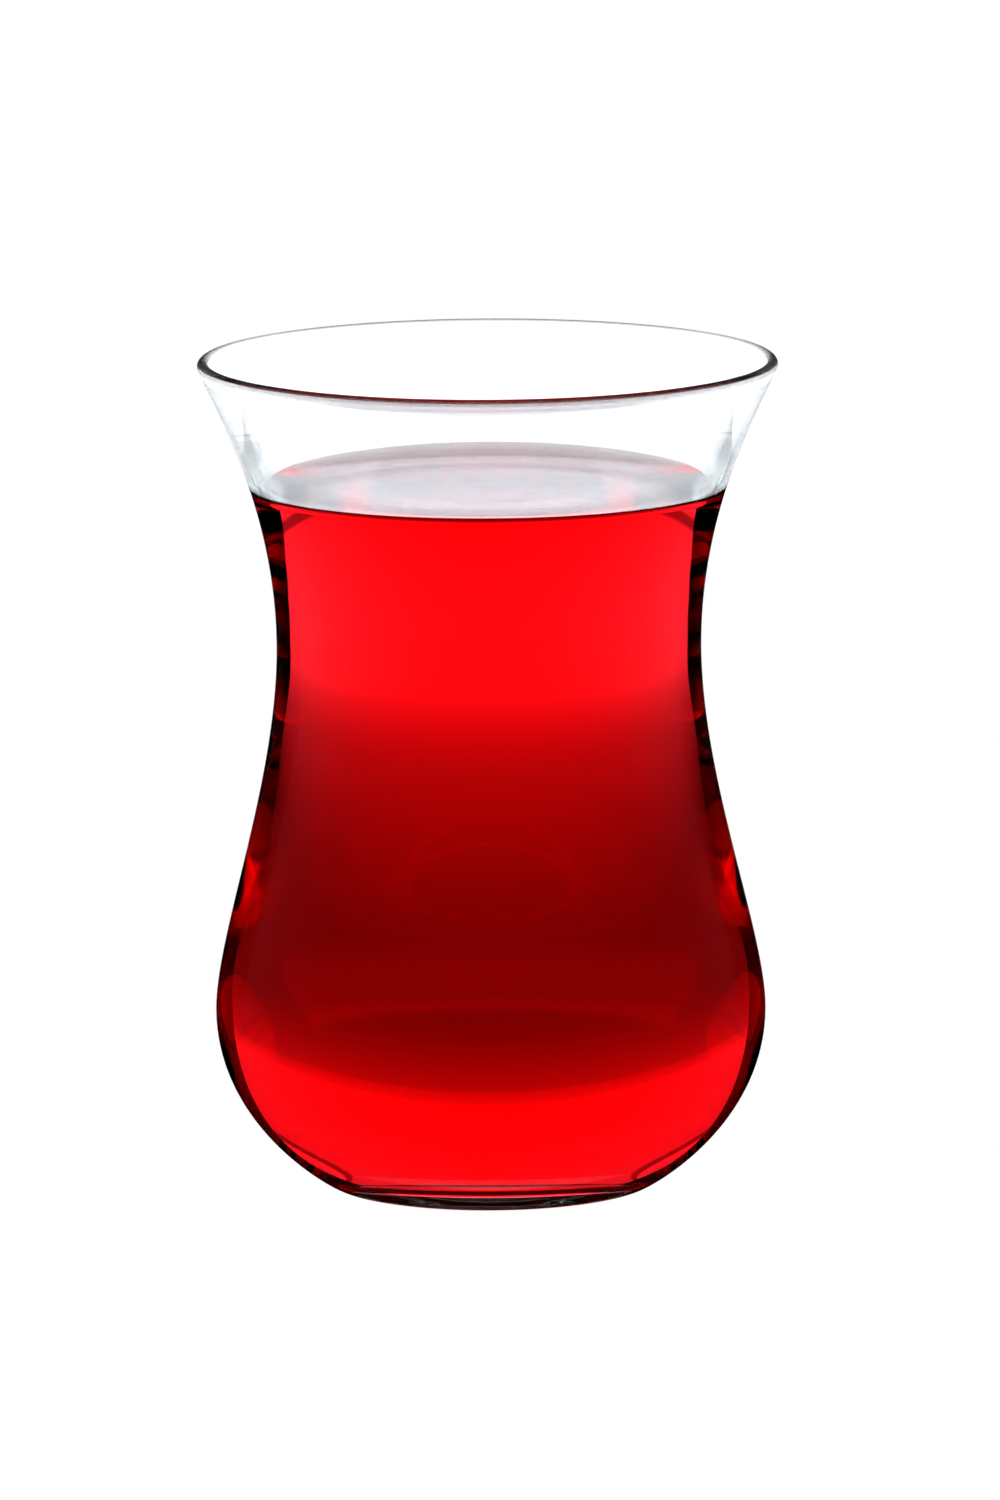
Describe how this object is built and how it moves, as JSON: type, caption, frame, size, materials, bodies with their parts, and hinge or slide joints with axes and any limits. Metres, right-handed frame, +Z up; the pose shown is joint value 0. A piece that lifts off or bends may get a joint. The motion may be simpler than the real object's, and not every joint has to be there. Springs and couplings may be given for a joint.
{
  "type": "tulip tea glass with tea",
  "caption": "Small clear Turkish tea glass with a round belly, a narrow waist and a flared rim, holding black tea to just below the rim.",
  "frame": {"origin": "middle of the foot, on the surface that the glass stands on", "axes": "+Z up along the axis that the glass and the tea are turned about, X and Y across it"},
  "size_m": [0.0584, 0.0584, 0.084],
  "materials": {
    "clear_glass": "polished clear soda-lime glass",
    "black_tea": "clear dark red liquid"
  },
  "bodies": {
    "root": {"glass": "clear_glass", "tea": "black_tea"}
  },
  "joints": []
}
